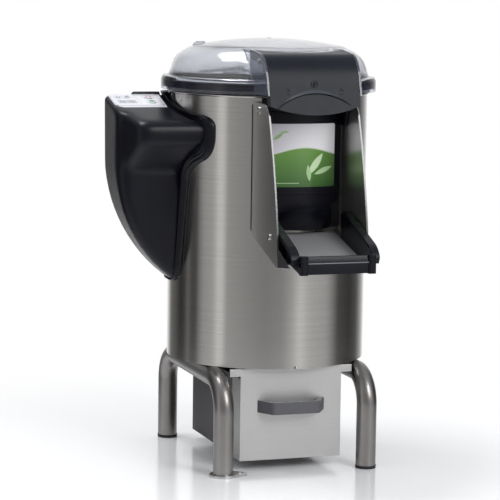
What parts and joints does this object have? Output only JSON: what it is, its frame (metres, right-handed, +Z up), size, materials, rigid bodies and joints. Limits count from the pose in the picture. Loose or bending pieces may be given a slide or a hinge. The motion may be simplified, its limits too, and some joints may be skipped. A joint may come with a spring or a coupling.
{
  "type": "electric potato peeler",
  "caption": "Floor-standing drum peeler on a tube stand with a hinged clear lid, swinging discharge door, chute, side control box and a filter drawer.",
  "frame": {"origin": "middle of the footprint of the whole part, on the floor", "axes": "+Z up; -Y towards the chute and the drawer's handle; the control box is on the -X side"},
  "size_m": [0.545, 0.673, 0.849],
  "materials": {
    "steel": "brushed stainless steel",
    "dark_steel": "machined steel",
    "black_plastic": "moulded, fine satin grain",
    "slate_plastic": "moulded, fine satin grain",
    "grey_plastic": "moulded, satin",
    "clear_plastic": "clear polycarbonate",
    "black_rubber": "matt",
    "grit": "coarse bonded grit",
    "label_print": "printed film",
    "panel_film": "glossy film",
    "green_plastic": "moulded",
    "red_plastic": "moulded",
    "display": "dark window",
    "board": "circuit board",
    "motor_paint": "painted",
    "brass": "turned"
  },
  "bodies": {
    "machine": {"left_stand_tube": "steel", "right_stand_tube": "steel", "cross_bars": "steel", "rubber_feet": "black_rubber", "fixing_foot": "steel", "drum_shell": "steel", "drum_base": "steel", "base_bolts": "dark_steel", "chamber_deck": "steel", "waste_duct": "steel", "abrasive_liner": "grit", "mouth_gasket": "black_rubber", "left_cheek": "steel", "right_cheek": "steel", "mouth_tray": "steel", "chute_frame": "black_plastic", "chute_floor": "steel", "chute_screws": "steel", "door_pivots": "steel", "hinge_bracket": "steel", "hinge_pin": "steel", "box_shell": "black_plastic", "box_gasket": "black_rubber", "control_panel": "panel_film", "timer_display": "display", "circuit_board": "board", "contactor": "grey_plastic", "cable_gland": "grey_plastic", "motor": "motor_paint", "motor_bracket": "dark_steel", "drive_belt": "black_rubber", "bearing_housing": "dark_steel", "bearings": "steel", "shaft_seal": "black_rubber", "filter_housing": "steel", "hanger_bolts": "dark_steel", "tray_rails": "steel", "drain_outlet": "steel", "water_inlet": "brass"},
    "lid": {"lid_dome": "clear_plastic", "lid_hood": "slate_plastic", "hood_screws": "steel", "lid_seal": "black_rubber", "hinge_leaf": "steel"},
    "door": {"door_panel": "black_plastic", "door_label": "label_print"},
    "drawer": {"drawer_front": "steel", "drawer_handle": "grey_plastic", "filter_tray": "steel"},
    "rotor": {"abrasive_plate": "grit", "spindle": "steel", "driven_pulley": "dark_steel"},
    "motor_rotor": {"motor_shaft": "steel", "motor_pulley": "dark_steel"},
    "start_key": {"start_button": "green_plastic"},
    "stop_key": {"stop_button": "red_plastic"},
    "more_key": {"more_time_button": "grey_plastic"},
    "less_key": {"less_time_button": "grey_plastic"}
  },
  "joints": [
    {"name": "lid_hinge", "type": "hinge", "parent": "machine", "child": "lid", "pos_m": [0.0555, 0.3205, 0.752], "axis": [-1, 0, 0], "range_deg": [0, 90]},
    {"name": "door_hinge", "type": "hinge", "parent": "machine", "child": "door", "pos_m": [0.0555, -0.131, 0.717], "axis": [-1, 0, 0], "range_deg": [0, 65]},
    {"name": "drawer_slide", "type": "slide", "parent": "machine", "child": "drawer", "axis": [0, -1, 0], "range_m": [0, 0.25]},
    {"name": "plate_spin", "type": "hinge", "parent": "machine", "child": "rotor", "pos_m": [0.0555, 0.0845, 0.464], "axis": [0, 0, 1], "continuous": true},
    {"name": "motor_spin", "type": "hinge", "parent": "machine", "child": "motor_rotor", "pos_m": [0.0555, 0.2045, 0.243], "axis": [0, 0, 1], "continuous": true},
    {"name": "start_press", "type": "slide", "parent": "machine", "child": "start_key", "axis": [0, 0.2419, -0.9703], "range_m": [0, 0.0015], "stiffness_N_per_m": 600},
    {"name": "stop_press", "type": "slide", "parent": "machine", "child": "stop_key", "axis": [0, 0.2419, -0.9703], "range_m": [0, 0.0015], "stiffness_N_per_m": 600},
    {"name": "more_time_press", "type": "slide", "parent": "machine", "child": "more_key", "axis": [0, 0.2419, -0.9703], "range_m": [0, 0.0015], "stiffness_N_per_m": 600},
    {"name": "less_time_press", "type": "slide", "parent": "machine", "child": "less_key", "axis": [0, 0.2419, -0.9703], "range_m": [0, 0.0015], "stiffness_N_per_m": 600}
  ],
  "couplings": [
    {"joint": "motor_spin", "follows": "plate_spin", "ratio": 3.2222}
  ]
}
